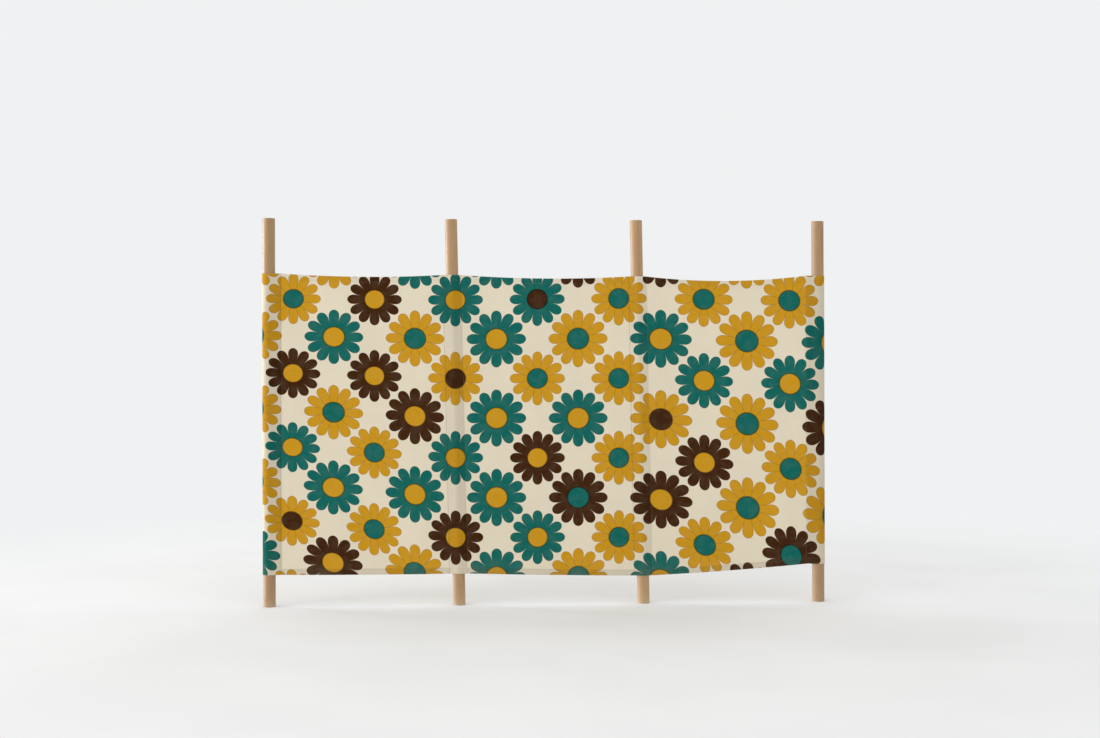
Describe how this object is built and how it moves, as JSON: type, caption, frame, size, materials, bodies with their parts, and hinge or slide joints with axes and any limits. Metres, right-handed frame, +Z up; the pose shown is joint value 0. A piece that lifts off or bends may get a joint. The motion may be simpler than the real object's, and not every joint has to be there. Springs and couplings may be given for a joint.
{
  "type": "beach windbreak",
  "caption": "Upright beach windbreak: a long printed cotton cloth in bays, held up by round wooden poles that run through sewn sleeves and stand in the ground.",
  "frame": {"origin": "centre of the first pole's foot face, at ground level, seen from the printed front the pole on the left", "axes": "+X along the bays from the first pole to the last, +Y from the printed front to the back, +Z up"},
  "size_m": [2.393, 0.0563, 1.6305],
  "materials": {
    "pole_wood": "bare, sanded, untreated softwood",
    "printed_cloth": "plain weave cotton canvas, printed on the front"
  },
  "bodies": {
    "root": {"pole_1": "pole_wood", "pole_2": "pole_wood", "pole_3": "pole_wood", "pole_4": "pole_wood", "bay_cloth_1": "printed_cloth", "bay_cloth_2": "printed_cloth", "bay_cloth_3": "printed_cloth", "bay_top_hem_1": "printed_cloth", "bay_bottom_hem_1": "printed_cloth", "bay_top_hem_2": "printed_cloth", "bay_bottom_hem_2": "printed_cloth", "bay_top_hem_3": "printed_cloth", "bay_bottom_hem_3": "printed_cloth", "sleeve_front_2": "printed_cloth", "sleeve_front_3": "printed_cloth", "sleeve_strip_2": "printed_cloth", "sleeve_strip_3": "printed_cloth", "sleeve_front_top_hem_2": "printed_cloth", "sleeve_front_bottom_hem_2": "printed_cloth", "sleeve_strip_top_hem_2": "printed_cloth", "sleeve_strip_bottom_hem_2": "printed_cloth", "sleeve_front_top_hem_3": "printed_cloth", "sleeve_front_bottom_hem_3": "printed_cloth", "sleeve_strip_top_hem_3": "printed_cloth", "sleeve_strip_bottom_hem_3": "printed_cloth", "end_sleeve_1": "printed_cloth", "end_sleeve_4": "printed_cloth", "end_top_hem_1": "printed_cloth", "end_bottom_hem_1": "printed_cloth", "end_top_hem_4": "printed_cloth", "end_bottom_hem_4": "printed_cloth"}
  },
  "joints": []
}
